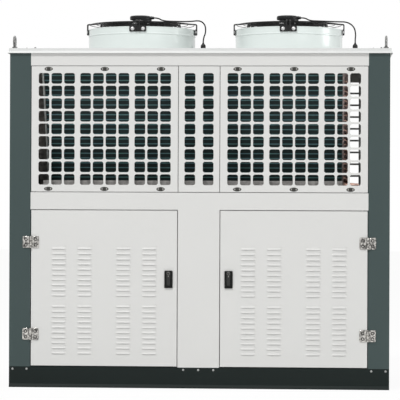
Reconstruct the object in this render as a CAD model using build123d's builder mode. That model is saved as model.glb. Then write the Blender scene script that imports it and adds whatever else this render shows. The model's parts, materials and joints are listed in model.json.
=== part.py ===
"""Box-type refrigeration condensing unit: louvred machine compartment, V coils and two roof fans."""

from build123d import *
import os
from math import atan2, cos, pi, radians, sin, tan

os.makedirs("parts", exist_ok=True)

# ---------------------------------------------------------------- driving dimensions, millimetres
# +Z up, front at -Y, +X to the right; the origin is the middle of the base's anchor holes, on the floor.
body_width = 1900.0
body_depth = 850.0
base_height = 100.0
roof_top = 1698.0

# Base of folded channel
channel_flange = 60.0
channel_wall = 5.0
toe_height = 18.0
toe_reach = 5.0
cross_member_x = 300.0
anchor_radius = 9.0
anchor_x = 850.0
anchor_inset = 30.0

# Sheet metal
deck_sheet = 4.0
frame_sheet = 2.0
panel_sheet = 1.6
tray_depth = 25.0
stop_width = 24.0
panel_gap = 3.0

# Corner posts and rails
post_face = 106.0
mid_rail_low = 891.0
mid_rail_high = 977.0
top_rail_low = 1611.0
rail_stand = 27.0
centre_width = 208.0
sill_height = 26.0

# Roof cap
roof_sheet = 2.0
roof_overhang = 6.0
roof_skirt = 13.0
drip_height = 12.0
drip_reach = 7.0

# Perforated panels
hole_size = 53.5
hole_pitch_x = 64.0
hole_pitch_z = 63.2
hole_groups = (3, 4, 3)
group_gap = 17.0
hole_rows = 9
centre_hole_pitch = 91.5
rear_slot_margin = 30.0

# Doors
door_gap = 4.0
door_foot_gap = 5.0
door_depth = 21.0
seal_width = 12.0
seal_running_gap = 0.3
louvre_columns = (-227.0, -97.0, 97.0, 227.0)
louvre_length = 74.0
louvre_hood = 15.0
louvre_reach = 7.0
louvre_pitch = 26.0
louvre_count = 10
louvre_groups = (170.0, 459.5)

# Hinges
hinge_heights = (267.0, 727.0)
hinge_height = 60.0
hinge_leaf = 41.0
hinge_plate = 5.0
hinge_stand_off = 7.0
knuckle_radius = 6.5
knuckle_gap = 0.5
hinge_clear = 1.0
hinge_pin_radius = 3.0
pin_fit = 0.03
knuckle_cap = 2.0

# Locks
lock_x = 150.0
lock_z = 543.5
lock_width = 41.0
lock_height = 87.0
lock_depth = 8.0
lever_width = 20.0
lever_length = 71.0
lever_depth = 8.0
lever_gap = 0.4
spindle_radius = 6.0
spindle_fit = 0.05
spindle_drop = 12.0
cam_length = 62.0
cam_width = 20.0
cam_sheet = 4.0
cam_clear = 1.5

# Fans
fan_places = {"left": -321.0, "right": 441.0}
ring_radius = 277.0
ring_wall = 4.0
ring_height = 122.0
roof_hole_radius = 268.0
tip_radius = 262.0
rotor_radius = 68.0
rotor_height = 94.0
rotor_low = 40.0
blade_count = 5
blade_thickness = 4.0
blade_pitch = 26.0
blade_root = 0.9
blade_root_lead = 30.0
blade_root_trail = 26.0
blade_lead = 0.55
blade_trail = 0.25
blade_lead_bulge = (170.0, 62.0)
blade_trail_bulge = (157.0, -38.0)
motor_gap = 1.0
neck_radius = 28.0
shaft_radius = 12.0
shaft_length = 50.0
shaft_fit = 0.05
flange_radius = 50.0
flange_height = 6.0
cap_radius = 54.0
cap_height = 21.0
cap_shift = 9.0
outlet_radius = 9.0
outlet_length = 18.0
arm_bar = 6.5
arm_spacing = 17.0
arm_inner = 40.0
arm_inner_top = 170.0
arm_outer_top = 154.0
foot_width = 86.0
foot_height = 30.0
foot_bolts = 53.0
foot_plate = 3.0
foot_drop = 95.0
foot_clear = 0.3
guard_radii = (100.0, 150.0, 200.0, 270.0)
guard_wire = 4.0
guard_sides = 16

# Fan cables: distance from the fan's axis, and height above the roof
cable_diameter = 7.0
cable_routes = {
    "left": (
        (63, 186.8), (83, 186.8), (107, 172), (158, 169), (246, 167.5),
        (302, 174.5), (329, 150), (331, 110), (318, 80), (318, 57),
    ),
    "right": (
        (63, 186.8), (83, 186.8), (107, 172), (158, 170.5), (246, 166.5),
        (302, 166), (337, 140), (345, 102), (342, 77), (342, 57),
    ),
}
gland_places = {"left": 318.0, "right": 342.0}
gland_radius = 13.0
gland_height = 57.0
gland_foot = 12.0
gland_rim = 2.0
gland_taper = 8.0

# Lifting eyes
eye_x = 930.0
eye_inset = 25.0
eye_radius = 31.0
eye_bore = 17.5
eye_thickness = 12.0
eye_height = 66.0
eye_collar_radius = 13.0
eye_collar_height = 8.0

# Coil section
coil_left = -785.0
coil_right = 715.0
coil_thickness = 66.0
coil_low_y = 20.0
coil_high_y = 310.0
coil_foot = 4.0
coil_top = 1600.0
end_plate = 2.0
end_plate_margin = 8.0
tray_lip = 31.0
tray_front_inset = 12.0
bend_pitch = 54.0
bend_span = 26.0
bend_reach = 30.0
bend_bar = 9.5
bend_count = 11

# Machine compartment
compressor_x = -430.0
compressor_y = 60.0
shell_sides = 16
barrel_radius = 115.0
barrel_length = 300.0
crankcase = (230.0, 240.0, 250.0)
head = (95.0, 150.0, 70.0)
compressor_foot = 40.0
foot_pad = 60.0
receiver_x = 420.0
receiver_y = 150.0
receiver_radius = 100.0
receiver_length = 600.0
receiver_dome = 40.0
receiver_taper = 50.0
receiver_saddle = 60.0
saddle_wall = 8.0
control_box = (460.0, 170.0, 420.0)
control_box_x = 560.0
control_box_low = 420.0
suction_radius = 14.3
liquid_radius = 7.95
stub_reach = 60.0
suction_z = 620.0
liquid_z = 520.0
stub_x = 250.0
pipe_fit = 0.5
boss_radius = 20.0
boss_sunk = 12.0
boss_rise = 8.0
suction_entry_x = -580.0
drain_entry_x = 620.0
discharge_radius = 9.5
discharge_level = 840.0
discharge_x = 775.0
drain_radius = 7.5
drain_level = 480.0
drain_x = 796.0
coil_joint_z = 1022.0
discharge_branch_y = 45.0
drain_branch_y = 88.0
suction_run_y = 330.0
control_box_y = -300.0
stand_sheet = 3.0
stand_spacing = 400.0
stand_depth = 120.0

# Fasteners
screw_across = 10.0
screw_head = 4.0
base_screw_x = (-932.0, -861.0, -75.0, 0.0, 75.0, 861.0, 932.0)
base_screw_drop = 8.0
oval_width = 40.0
oval_height = 20.0
oval_corner = 6.0
oval_proud = 3.0
oval_inset = 14.0
oval_spacing = 282.0
roof_screw_x = 866.0
roof_screw_inset = 12.0

# ---------------------------------------------------------------- derived places
half_width = body_width / 2
half_depth = body_depth / 2
deck_top = base_height + deck_sheet
roof_under = roof_top - roof_sheet
post_inner = half_width - post_face
stop_edge = post_inner - stop_width
stop_front = half_depth - tray_depth
stop_back = stop_front - frame_sheet
centre_half = centre_width / 2
centre_stop = centre_half + stop_width
grille_low = mid_rail_high + panel_gap
grille_high = top_rail_low - panel_gap
grille_mid = (grille_low + grille_high) / 2
grille_inner = centre_half + panel_gap / 2
grille_outer = post_inner - panel_gap
grille_centre_x = (grille_inner + grille_outer) / 2
door_low = deck_top + door_foot_gap
door_high = mid_rail_low - door_gap
door_inner = centre_half + door_gap
door_outer = post_inner - door_gap
door_centre_x = (door_inner + door_outer) / 2
hinge_x = post_inner - door_gap / 2
hinge_y = half_depth + hinge_stand_off
tray_floor = mid_rail_high + rail_stand
coil_low = tray_floor + frame_sheet + coil_foot
spindle_z = lock_z + lock_height / 2 - spindle_drop


def save(piece, label):
    """Label a finished piece and write its STEP file."""
    piece.part.label = label
    export_step(piece.part, f"parts/{label}.step")


def bar(u0, v0, u1, v1, mode=Mode.ADD):
    """A rectangle between two corners, in the current sketch."""
    with Locations(((u0 + u1) / 2, (v0 + v1) / 2)):
        Rectangle(abs(u1 - u0), abs(v1 - v0), mode=mode)


def outline(*points):
    """A filled polygon, in the current sketch."""
    with BuildLine() as edge:
        Polyline(*points, close=True)
    make_face(edge.line)


# ---------------------------------------------------------------- base
def channel_section(side, outer, toe):
    """Channel with its web outwards and its flanges inwards; the toe flares out at the floor."""
    inner = outer - side * channel_flange
    bar(outer, 0, outer - side * channel_wall, base_height)
    bar(outer, 0, inner, channel_wall)
    bar(outer, base_height - channel_wall, inner, base_height)
    if toe:
        tip = outer + side * toe_reach
        outline((outer, toe_height), (tip, channel_wall), (tip, 0), (outer, 0))


with BuildPart() as base_frame:
    with BuildSketch(Plane.YZ.offset(-half_width)):
        channel_section(-1, -half_depth, True)
        channel_section(1, half_depth, True)
    extrude(amount=body_width)
    with BuildSketch(Plane.XZ.offset(-(half_depth - channel_wall))):
        channel_section(-1, -half_width, False)
        channel_section(1, half_width, False)
        for side in (-1, 1):
            channel_section(side, side * cross_member_x, False)
    extrude(amount=body_depth - 2 * channel_wall)
    with Locations((0, 0, channel_wall)):
        with GridLocations(2 * anchor_x, body_depth - 2 * anchor_inset, 2, 2):
            Hole(anchor_radius, depth=channel_wall)
save(base_frame, "base_frame")

with BuildPart() as floor_deck:
    with BuildSketch(Plane.XY.offset(base_height)):
        Rectangle(body_width, body_depth)
    extrude(amount=deck_sheet)
    with BuildSketch(Plane.XY.offset(deck_top)):
        bar(-stop_edge, stop_back, stop_edge, stop_front)
        bar(-stop_edge, -stop_front, -centre_stop, -stop_back)
        bar(centre_stop, -stop_front, stop_edge, -stop_back)
    extrude(amount=sill_height)
save(floor_deck, "floor_deck")


# ---------------------------------------------------------------- posts, rails and outer panels
def corner_post(side_x, side_y):
    """Folded corner post: two faces, a lip into the body at each, and the stop that the panels close on."""
    outer_x, outer_y = side_x * half_width, side_y * half_depth
    inner_x, inner_y = side_x * post_inner, side_y * (half_depth - post_face)
    with BuildPart() as post:
        with BuildSketch(Plane.XY.offset(deck_top)):
            bar(outer_x, outer_y, inner_x, outer_y - side_y * frame_sheet)
            bar(outer_x, outer_y, outer_x - side_x * frame_sheet, inner_y)
            bar(inner_x, outer_y, inner_x + side_x * frame_sheet, side_y * stop_back)
            bar(inner_x, side_y * stop_front, side_x * stop_edge, side_y * stop_back)
            bar(outer_x, inner_y, side_x * (half_width - tray_depth), inner_y + side_y * frame_sheet)
        extrude(amount=roof_under - deck_top)
    return post


for side_x, left_right in ((-1, "left"), (1, "right")):
    for side_y, front_rear in ((-1, "front"), (1, "rear")):
        save(corner_post(side_x, side_y), f"{front_rear}_{left_right}_post")


def cross_rail(side, low, high, stand_up, stand_down):
    """Rail between two posts: a face, a flange at each edge, and upright stands that carry the panels."""
    face, back = side * half_depth, side * stop_front
    with BuildPart() as rail:
        with BuildSketch(Plane.YZ.offset(-post_inner)):
            bar(face, low, face - side * frame_sheet, high)
            bar(face, low, back, low + frame_sheet)
            bar(face, high - frame_sheet, back, high)
        extrude(amount=2 * post_inner)
        with BuildSketch(Plane.YZ.offset(-stop_edge)):
            if stand_up:
                bar(back, high - frame_sheet, side * stop_back, high + rail_stand)
            if stand_down == "whole":
                bar(back, low + frame_sheet, side * stop_back, low - rail_stand)
        if stand_up or stand_down == "whole":
            extrude(amount=2 * stop_edge)
        if stand_down == "split":
            for start in (-stop_edge, centre_stop):
                with BuildSketch(Plane.YZ.offset(start)):
                    bar(back, low + frame_sheet, side * stop_back, low - rail_stand)
                extrude(amount=stop_edge - centre_stop)
    return rail


save(cross_rail(-1, mid_rail_low, mid_rail_high, True, "split"), "front_mid_rail")
save(cross_rail(1, mid_rail_low, mid_rail_high, True, "whole"), "rear_mid_rail")
with BuildPart() as top_rails:
    for side in (-1, 1):
        add(cross_rail(side, top_rail_low, roof_under, False, "whole"))
save(top_rails, "top_rails")

with BuildPart() as front_centre_panel:
    with BuildSketch(Plane.XY.offset(deck_top)):
        bar(-centre_half, -half_depth, centre_half, -half_depth + frame_sheet)
        for side in (-1, 1):
            edge = side * centre_half
            bar(edge, -half_depth, edge - side * frame_sheet, -stop_back)
            bar(edge, -stop_front, side * centre_stop, -stop_back)
    extrude(amount=mid_rail_low - deck_top)
save(front_centre_panel, "front_centre_panel")


def tray(x_low, x_high, z_low, z_high, side, depth):
    """Folded tray with its skin outwards, the start of every grille, door and lower panel."""
    face = Plane.XZ.offset(half_depth) if side < 0 else Plane.XZ.offset(-half_depth)
    inwards = depth if side > 0 else -depth
    skin = panel_sheet if side > 0 else -panel_sheet
    with BuildSketch(face) as block:
        bar(x_low, z_low, x_high, z_high)
    extrude(block.sketch, amount=inwards)
    with BuildSketch(face.offset(skin)) as hollow:
        bar(x_low + panel_sheet, z_low + panel_sheet, x_high - panel_sheet, z_high - panel_sheet)
    extrude(hollow.sketch, amount=inwards - skin, mode=Mode.SUBTRACT)


def hole_centres(groups, pitch):
    """Hole centres along X, in groups with a wider web between them."""
    places, x = [], 0.0
    for count in groups:
        for _ in range(count):
            places.append(x)
            x += pitch
        x += group_gap
    middle = (places[0] + places[-1]) / 2
    return [place - middle for place in places]


def grille(x_low, x_high, side, groups, pitch):
    """Perforated panel. Upright slots in the outer half of the sheet cross level slots in its inner half,
    which leaves the square holes."""
    middle = (x_low + x_high) / 2
    field = (hole_rows - 1) * hole_pitch_z + hole_size
    columns = hole_centres(groups, pitch)
    half_row = columns[-1] + hole_size / 2
    outer = Plane.XZ.offset(-side * half_depth)
    step = side * panel_sheet / 2
    with BuildPart() as panel:
        tray(x_low, x_high, grille_low, grille_high, side, tray_depth)
        with BuildSketch(outer):
            for column in columns:
                with Locations((middle + column, grille_mid)):
                    Rectangle(hole_size, field)
        extrude(amount=step, mode=Mode.SUBTRACT)
        with BuildSketch(outer.offset(step)):
            with Locations((middle, grille_mid)):
                with GridLocations(1, hole_pitch_z, 1, hole_rows):
                    Rectangle(2 * half_row, hole_size)
        extrude(amount=step, mode=Mode.SUBTRACT)
    return panel


centre_grille_half = centre_half - panel_gap / 2
save(grille(-grille_outer, -grille_inner, -1, hole_groups, hole_pitch_x), "front_left_grille")
save(grille(grille_inner, grille_outer, -1, hole_groups, hole_pitch_x), "front_right_grille")
save(grille(-centre_grille_half, centre_grille_half, -1, (2,), centre_hole_pitch), "front_centre_grille")


with BuildPart() as rear_grilles:
    for x_low, x_high, slots in (
        (-grille_outer, -grille_inner, len(hole_groups)),
        (-centre_grille_half, centre_grille_half, 1),
        (grille_inner, grille_outer, len(hole_groups)),
    ):
        tray(x_low, x_high, grille_low, grille_high, 1, tray_depth)
        slot_pitch = (x_high - x_low - rear_slot_margin) / slots
        with BuildSketch(Plane.XZ.offset(-half_depth)):
            with Locations(((x_low + x_high) / 2, grille_mid)):
                with GridLocations(slot_pitch, hole_pitch_z, slots, hole_rows):
                    Rectangle(slot_pitch - rear_slot_margin, hole_size)
        extrude(amount=panel_sheet, mode=Mode.SUBTRACT)
save(rear_grilles, "rear_grilles")

with BuildPart() as rear_lower_panels:
    tray(-door_outer, -panel_gap / 2, door_low, door_high, 1, tray_depth)
    tray(panel_gap / 2, door_outer, door_low, door_high, 1, tray_depth)
    with BuildSketch(Plane.XZ.offset(-half_depth)):
        with Locations((stub_x, suction_z)):
            Circle(suction_radius + pipe_fit)
        with Locations((stub_x, liquid_z)):
            Circle(liquid_radius + pipe_fit)
    extrude(amount=panel_sheet, mode=Mode.SUBTRACT)
save(rear_lower_panels, "rear_lower_panels")

for side, left_right in ((-1, "left"), (1, "right")):
    flat_half = half_depth - post_face
    outer_x = side * half_width
    inner_x = outer_x - side * tray_depth
    with BuildPart() as side_panel:
        with BuildSketch(Plane.XY.offset(deck_top)):
            bar(outer_x, -flat_half, inner_x, flat_half)
        extrude(amount=roof_under - deck_top)
        with BuildSketch(Plane.XY.offset(deck_top + panel_sheet)):
            bar(outer_x - side * panel_sheet, -flat_half + panel_sheet, inner_x, flat_half - panel_sheet)
        extrude(amount=roof_under - deck_top - 2 * panel_sheet, mode=Mode.SUBTRACT)
    save(side_panel, f"{left_right}_side_panel")


# ---------------------------------------------------------------- roof
def roof_frustum(inset, mode):
    """The cap's skirt and its flared drip edge, as one solid drawn in by inset."""
    half_x = half_width + roof_overhang - inset
    half_y = half_depth + roof_overhang - inset
    skirt_low = roof_top - roof_skirt
    with BuildSketch(Plane.XY.offset(skirt_low)) as upper:
        Rectangle(2 * half_x, 2 * half_y)
    with BuildSketch(Plane.XY.offset(skirt_low - drip_height)) as lower:
        Rectangle(2 * (half_x + drip_reach), 2 * (half_y + drip_reach))
    loft(sections=[upper.sketch, lower.sketch], mode=mode)
    extrude(upper.sketch, amount=roof_skirt if mode == Mode.ADD else roof_skirt - roof_sheet, mode=mode)


with BuildPart() as roof_panel:
    roof_frustum(0, Mode.ADD)
    roof_frustum(roof_sheet, Mode.SUBTRACT)
    with Locations(*[(x, 0, roof_top) for x in fan_places.values()]):
        Hole(roof_hole_radius, depth=roof_sheet)
save(roof_panel, "roof_panel")


# ---------------------------------------------------------------- doors, hinges and locks
def place(side, x):
    """X of a point at distance x from the middle, on the left or the right half."""
    return side * x


def door(side):
    """Louvred door: a folded tray with rows of pressed hoods and the hole for the lock's spindle."""
    x_low, x_high = sorted((place(side, door_inner), place(side, door_outer)))
    middle = place(side, door_centre_x)
    columns = [(middle + side * x, low + row * louvre_pitch)
               for x in louvre_columns for low in louvre_groups for row in range(louvre_count)]
    face = Plane.XZ.offset(half_depth)
    with BuildPart() as panel:
        tray(x_low, x_high, door_low, door_high, -1, door_depth)
        for x, z in columns:
            with BuildSketch(Plane.YZ.offset(x - louvre_length / 2)):
                outline((-half_depth, z), (-half_depth - louvre_reach, z), (-half_depth, z + louvre_hood))
            extrude(amount=louvre_length)
        with BuildSketch(face):
            with Locations((place(side, lock_x), spindle_z)):
                Circle(spindle_radius + spindle_fit)
        extrude(amount=-panel_sheet, mode=Mode.SUBTRACT)
    return panel


def hinge_half(side, height, door_side):
    """One leaf of a lift-off hinge with its half of the knuckle; the door's half is the upper one."""
    centre_x = place(side, hinge_x)
    away = -side if door_side else side
    low = knuckle_gap / 2 if door_side else -hinge_height / 2
    high = hinge_height / 2 if door_side else -knuckle_gap / 2
    plate_start = centre_x + away * (knuckle_radius + hinge_clear)
    plate_end = centre_x + away * hinge_leaf
    face_y = -half_depth
    with BuildSketch(Plane.XY.offset(height - hinge_height / 2)) as leaf:
        bar(plate_start, face_y, plate_end, face_y - hinge_plate)
    extrude(leaf.sketch, amount=hinge_height)
    with BuildSketch(Plane.XY.offset(height + low)) as knuckle:
        with Locations((centre_x, -hinge_y)):
            RegularPolygon(knuckle_radius, 8, major_radius=False, rotation=22.5)
        bar(centre_x + away * knuckle_radius / 2, -hinge_y, plate_start, face_y - hinge_clear)
    extrude(knuckle.sketch, amount=high - low)
    bore_low = low if door_side else low + knuckle_cap
    with BuildSketch(Plane.XY.offset(height + bore_low)) as bore:
        with Locations((centre_x, -hinge_y)):
            Circle(hinge_pin_radius + pin_fit)
    extrude(bore.sketch, amount=high - low - knuckle_cap, mode=Mode.SUBTRACT)


def lock_cam(side):
    """Cam behind the door, on the square end of the lever's spindle; it hangs down while unlocked."""
    back_y = -stop_back + cam_clear
    with BuildPart() as cam:
        with BuildSketch(Plane.XZ.offset(-back_y)):
            x = place(side, lock_x)
            bar(x - cam_width / 2, spindle_z + cam_width / 2, x + cam_width / 2, spindle_z - cam_length)
        extrude(amount=-cam_sheet)
    return cam


for side, left_right in ((-1, "left"), (1, "right")):
    x = place(side, lock_x)
    face_y = -half_depth
    save(door(side), f"{left_right}_door")

    with BuildPart() as door_leaves:
        for height in hinge_heights:
            hinge_half(side, height, True)
    save(door_leaves, f"{left_right}_hinge_door_leaves")

    with BuildPart() as housing:
        with BuildSketch(Plane.XZ.offset(half_depth)):
            with Locations((x, lock_z)):
                Rectangle(lock_width, lock_height)
        extrude(amount=lock_depth)
        chamfer(housing.edges().filter_by(Axis.Y), length=lever_gap + panel_sheet * 2)
        with BuildSketch(Plane.XZ.offset(half_depth)):
            with Locations((x, spindle_z)):
                Circle(spindle_radius + spindle_fit)
        extrude(amount=lock_depth, mode=Mode.SUBTRACT)
    save(housing, f"{left_right}_lock_housing")

    lever_back = half_depth + lock_depth + lever_gap
    with BuildPart() as lever:
        with BuildSketch(Plane.XZ.offset(lever_back)):
            top = spindle_z + lever_width / 2
            bar(x - lever_width / 2, top, x + lever_width / 2, top - lever_length)
        extrude(amount=lever_depth)
        chamfer(lever.faces().sort_by(Axis.Y)[0].edges(), length=lever_width / 10)
        with BuildSketch(Plane.XZ.offset(lever_back)):
            with Locations((x, spindle_z)):
                Circle(spindle_radius)
        extrude(amount=-(lever_back - stop_back + cam_clear))
    save(lever, f"{left_right}_lock_lever")
    save(lock_cam(side), f"{left_right}_lock_cam")

with BuildPart() as post_leaves:
    for side in (-1, 1):
        for height in hinge_heights:
            hinge_half(side, height, False)
save(post_leaves, "hinge_post_leaves")

with BuildPart() as hinge_pins:
    for side in (-1, 1):
        for height in hinge_heights:
            with BuildSketch(Plane.XY.offset(height - hinge_height / 2 + knuckle_cap)):
                with Locations((place(side, hinge_x), -hinge_y)):
                    Circle(hinge_pin_radius)
            extrude(amount=hinge_height - 2 * knuckle_cap - knuckle_gap)
save(hinge_pins, "hinge_pins")

with BuildPart() as door_seals:
    for side in (-1, 1):
        x_low, x_high = sorted((place(side, centre_stop - seal_width), place(side, stop_edge + seal_width)))
        with BuildSketch(Plane.XZ.offset(stop_front)):
            bar(x_low, deck_top + door_foot_gap, x_high, door_high)
            bar(x_low + seal_width, deck_top + door_foot_gap + seal_width, x_high - seal_width,
                door_high - seal_width, mode=Mode.SUBTRACT)
        extrude(amount=tray_depth - door_depth - seal_running_gap)
save(door_seals, "door_seals")


# ---------------------------------------------------------------- fans
def fan_ring(x):
    """Fan ring standing on the roof."""
    outer, bore = x + ring_radius, x + ring_radius - ring_wall
    with BuildPart() as wall:
        with BuildSketch(Plane.XZ):
            outline(
                (outer, roof_top), (outer, roof_top + ring_height),
                (bore, roof_top + ring_height), (bore, roof_top),
            )
        revolve(axis=Axis((x, 0, 0), (0, 0, 1)))
    return wall


def impeller(x):
    """Motor rotor with swept blades welded round it."""
    low = roof_top + rotor_low
    root = blade_root * rotor_radius
    lead_tip = Vector(tip_radius * cos(blade_lead), tip_radius * sin(blade_lead))
    trail_tip = Vector(tip_radius * cos(blade_trail), -tip_radius * sin(blade_trail))
    with BuildPart() as wheel:
        with BuildSketch(Plane((x, 0, low))):
            RegularPolygon(rotor_radius, shell_sides)
        extrude(amount=rotor_height)
        for number in range(blade_count):
            angle = radians(360 / blade_count * number)
            along = Vector(cos(angle), sin(angle), 0)
            across = Vector(-sin(angle), cos(angle), 0)
            normal = Vector(0, 0, 1) * cos(radians(blade_pitch)) + across * sin(radians(blade_pitch))
            with BuildSketch(Plane((x, 0, low + rotor_height / 2), x_dir=along, z_dir=normal)):
                with BuildLine() as edge:
                    Polyline((root, blade_root_lead), blade_lead_bulge, lead_tip)
                    RadiusArc(lead_tip, trail_tip, tip_radius)
                    Polyline(trail_tip, blade_trail_bulge, (root, -blade_root_trail))
                    Line((root, -blade_root_trail), (root, blade_root_lead))
                make_face(edge.line)
            extrude(amount=blade_thickness / 2, both=True)
        with BuildSketch(Plane((x, 0, low + rotor_height))):
            Circle(shaft_radius + shaft_fit)
        extrude(amount=-shaft_length, mode=Mode.SUBTRACT)
    return wheel


def guard(x):
    """Wire guard that carries the motor: four arms of paired bars, each bent down to a foot on the ring."""
    foot_back = ring_radius + foot_clear
    leg_back = foot_back + foot_plate
    leg_front = leg_back + arm_bar
    fall = (arm_inner_top - arm_outer_top) / (leg_front - arm_inner)
    with BuildPart() as wires:
        for quarter in range(4):
            turn = 90 * quarter
            along = Vector(cos(radians(turn)), sin(radians(turn)), 0)
            across = Vector(-sin(radians(turn)), cos(radians(turn)), 0)
            for shift in (-arm_spacing / 2, arm_spacing / 2):
                middle = Vector(x, 0, roof_top) + across * shift
                with BuildSketch(Plane(middle, x_dir=along, z_dir=across * -1)):
                    outline(
                        (arm_inner, arm_inner_top), (leg_front, arm_outer_top), (leg_front, foot_drop),
                        (leg_back, foot_drop), (leg_back, arm_outer_top - arm_bar),
                        (arm_inner, arm_inner_top - arm_bar),
                    )
                extrude(amount=arm_bar / 2, both=True)
            foot_plane = Plane(Vector(x, 0, roof_top) + along * foot_back, x_dir=across, z_dir=along)
            with BuildSketch(foot_plane):
                bar(-foot_width / 2, foot_drop, foot_width / 2, foot_drop + foot_height)
            extrude(amount=foot_plate)
        for radius in guard_radii:
            seat = roof_top + arm_inner_top - arm_bar - (radius - arm_inner) * fall + guard_wire / 4
            with BuildSketch(Plane((x, 0, seat))):
                RegularPolygon(radius + guard_wire / 2, guard_sides)
                RegularPolygon(radius - guard_wire / 2, guard_sides, mode=Mode.SUBTRACT)
            extrude(amount=-guard_wire)
    return wires


def cable(points):
    """Motor cable of one diameter along straight runs joined by the largest arcs that they allow."""
    radii = []
    for before, here, after in zip(points, points[1:], points[2:]):
        turn = radians((here - before).get_angle(after - here))
        radii.append(0.45 * min((here - before).length, (after - here).length) / tan(turn / 2))
    with BuildPart() as lead:
        with BuildLine() as route:
            FilletPolyline(*points, radius=radii)
        with BuildSketch(Plane(route.line @ 0, z_dir=route.line % 0)):
            Circle(cable_diameter / 2)
        sweep(path=route.line)
    length = sum(edge.length for edge in route.edges())
    share = lead.part.volume / (pi * cable_diameter**2 / 4 * length)
    bends = [round(radius) for radius in radii]
    print("cable radii", bends, "length", round(length), "share", round(share, 4))
    return lead


for name, x in fan_places.items():
    save(fan_ring(x), f"{name}_fan_ring")
    save(impeller(x), f"{name}_fan_impeller")
    save(guard(x), f"{name}_fan_guard")
    route_points = [Vector(x + reach, 0, roof_top + rise) for reach, rise in cable_routes[name]]
    save(cable(route_points), f"{name}_fan_cable")

rotor_top = rotor_low + rotor_height
cap_low = arm_inner_top + foot_clear + flange_height
with BuildPart() as fan_motors:
    for x in fan_places.values():
        with BuildSketch(Plane((x, 0, roof_top + rotor_top + motor_gap))):
            RegularPolygon(neck_radius, shell_sides)
        extrude(amount=arm_inner_top + foot_clear - rotor_top - motor_gap)
        with BuildSketch(Plane((x, 0, roof_top + rotor_top + motor_gap))):
            Circle(shaft_radius)
        extrude(amount=-shaft_length)
        with BuildSketch(Plane((x, 0, roof_top + arm_inner_top + foot_clear))):
            Circle(flange_radius)
        extrude(amount=flange_height)
        with BuildSketch(Plane((x - cap_shift, 0, roof_top + cap_low))):
            Circle(cap_radius)
        extrude(amount=cap_height)
        with BuildSketch(Plane.YZ.offset(x - cap_shift + cap_radius * 0.9)):
            with Locations((0, roof_top + cap_low + cap_height / 2)):
                RegularPolygon(outlet_radius, 8)
        extrude(amount=cap_radius * 0.1 + outlet_length)
save(fan_motors, "fan_motors")

with BuildPart() as cable_glands:
    for name, x in fan_places.items():
        with BuildSketch(Plane((x + gland_places[name], 0, roof_top))) as foot:
            RegularPolygon(gland_radius + gland_rim, 8)
        extrude(foot.sketch, amount=gland_foot)
        with BuildSketch(Plane((x + gland_places[name], 0, roof_top + gland_foot))) as lower:
            RegularPolygon(gland_radius, 8)
        extrude(lower.sketch, amount=gland_height - gland_foot, taper=gland_taper)
save(cable_glands, "cable_glands")

with BuildPart() as guard_bolts:
    for x in fan_places.values():
        for quarter in range(4):
            turn = radians(90 * quarter)
            along = Vector(cos(turn), sin(turn), 0)
            across = Vector(-sin(turn), cos(turn), 0)
            foot_front = ring_radius + foot_clear + foot_plate
            seat = Vector(x, 0, roof_top + foot_drop + foot_height / 2) + along * foot_front
            with BuildSketch(Plane(seat, x_dir=across, z_dir=along)):
                with Locations((-foot_bolts / 2, 0), (foot_bolts / 2, 0)):
                    RegularPolygon(screw_across, 6)
            extrude(amount=screw_head)
save(guard_bolts, "guard_bolts")

with BuildPart() as lifting_eyes:
    for side_x in (-1, 1):
        for side_y in (-1, 1):
            foot = Vector(side_x * eye_x, side_y * (half_depth - eye_inset), roof_top)
            ring_middle = foot + Vector(-eye_thickness / 2, 0, eye_height - eye_radius)
            with BuildSketch(Plane(foot)):
                RegularPolygon(eye_collar_radius, 8)
            extrude(amount=eye_collar_height)
            with BuildSketch(Plane(ring_middle, x_dir=(0, 1, 0), z_dir=(1, 0, 0))):
                RegularPolygon(eye_radius, 12, rotation=15)
                Circle(eye_bore, mode=Mode.SUBTRACT)
            extrude(amount=eye_thickness)
save(lifting_eyes, "lifting_eyes")


# ---------------------------------------------------------------- coil section
coil_run = coil_high_y - coil_low_y
coil_rise = coil_top - coil_low
coil_lean = atan2(coil_run, coil_rise)
coil_level = coil_thickness / cos(coil_lean)

with BuildPart() as section_deck:
    with BuildSketch(Plane.XY.offset(tray_floor)):
        Rectangle(2 * stop_edge - 1, 2 * stop_front)
    extrude(amount=frame_sheet)
    with BuildSketch(Plane.XY.offset(tray_floor + frame_sheet)):
        lip_y = stop_front - tray_front_inset
        bar(coil_left, -lip_y, coil_right, -lip_y + frame_sheet)
        bar(coil_left, lip_y, coil_right, lip_y - frame_sheet)
    extrude(amount=tray_lip)
    with Locations((discharge_x, 0, tray_floor + frame_sheet)):
        Hole(discharge_radius + 2 * pipe_fit, depth=frame_sheet)
    with Locations((drain_x, drain_branch_y, tray_floor + frame_sheet)):
        Hole(drain_radius + 2 * pipe_fit, depth=frame_sheet)
save(section_deck, "section_deck")

for side, front_rear in ((-1, "front"), (1, "rear")):
    with BuildPart() as coil:
        with BuildSketch(Plane.YZ.offset(coil_left)):
            outline(
                (side * coil_low_y, coil_low), (side * (coil_low_y + coil_level), coil_low),
                (side * (coil_high_y + coil_level), coil_top), (side * coil_high_y, coil_top),
            )
        extrude(amount=coil_right - coil_left)
    save(coil, f"{front_rear}_coil")

with BuildPart() as coil_end_plates:
    for start in (coil_left - end_plate, coil_right):
        for side in (-1, 1):
            plate_foot = tray_floor + frame_sheet
            reach_in, reach_out = coil_low_y - end_plate_margin, coil_low_y + coil_level + end_plate_margin
            with BuildSketch(Plane.YZ.offset(start)):
                outline(
                    (side * reach_in, plate_foot), (side * reach_out, plate_foot),
                    (side * (reach_out + coil_run), coil_top), (side * (reach_in + coil_run), coil_top),
                )
            extrude(amount=end_plate)
save(coil_end_plates, "coil_end_plates")

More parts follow.
